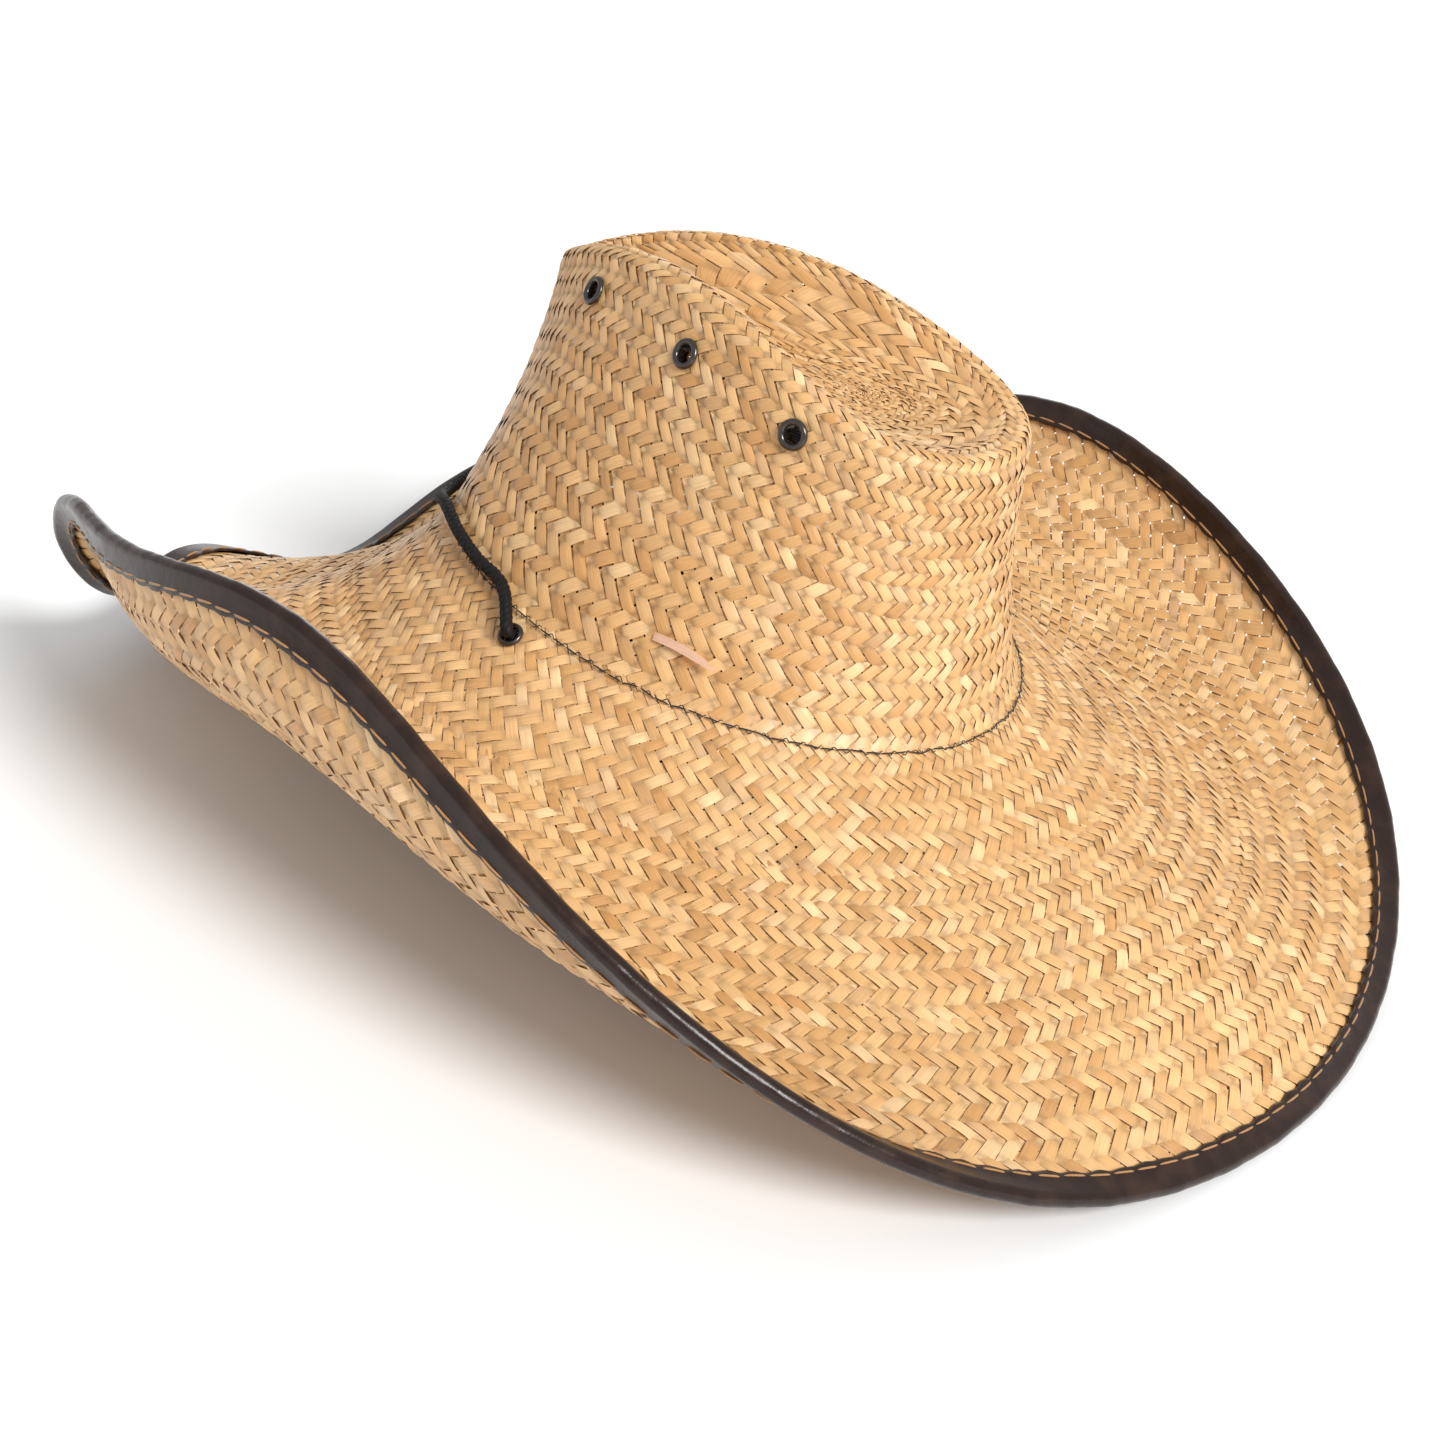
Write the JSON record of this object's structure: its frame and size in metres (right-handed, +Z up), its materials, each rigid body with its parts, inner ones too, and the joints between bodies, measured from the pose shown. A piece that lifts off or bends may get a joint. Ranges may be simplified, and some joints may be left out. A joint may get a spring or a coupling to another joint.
{
  "type": "straw cowboy hat",
  "caption": "Wide-brimmed hat plaited from palm straw, with a pinched and creased crown, bound wired edge, vent eyelets, sweatband and a chin cord with a sliding bead.",
  "frame": {"origin": "middle of the bottom of the hat's bounding box, on the surface that it stands on (the put-away chin cord not counted)", "axes": "+Z up through the crown, -Y towards the front (the pinched end of the crown), +X towards the wearer's left"},
  "size_m": [0.4277, 0.4517, 0.1906],
  "materials": {
    "straw": "woven palm strips, satin",
    "straw_end": "cut palm strip, satin",
    "binding": "glossy dark brown vinyl tape",
    "wire": "drawn steel wire",
    "tan_thread": "waxed sewing thread",
    "band": "dark elastic sweatband",
    "black_thread": "black sewing thread",
    "black_metal": "black enamelled eyelet",
    "cord": "black braided polyester cord",
    "bead": "dark stained bead, satin"
  },
  "bodies": {
    "hat": {"straw_body": "straw", "loose_straw_end": "straw_end", "brim_binding": "binding", "brim_wire": "wire", "binding_stitch_top": "tan_thread", "binding_stitch_under": "tan_thread", "sweatband": "band", "crown_stitch": "black_thread", "eyelet_left_front": "black_metal", "washer_left_front": "black_metal", "eyelet_left_mid": "black_metal", "washer_left_mid": "black_metal", "eyelet_left_rear": "black_metal", "washer_left_rear": "black_metal", "eyelet_right_front": "black_metal", "washer_right_front": "black_metal", "eyelet_right_mid": "black_metal", "washer_right_mid": "black_metal", "eyelet_right_rear": "black_metal", "washer_right_rear": "black_metal", "eyelet_cord_left": "black_metal", "washer_cord_left": "black_metal", "eyelet_cord_right": "black_metal", "washer_cord_right": "black_metal", "cord_front": "cord", "cord_left": "cord", "cord_right": "cord", "cord_knot": "cord"},
    "slide": {"cord_slide": "bead"}
  },
  "joints": [
    {"name": "slide_along_cord", "type": "slide", "parent": "hat", "child": "slide", "axis": [0, 1, 0], "range_m": [-0.03, 0.02]}
  ]
}
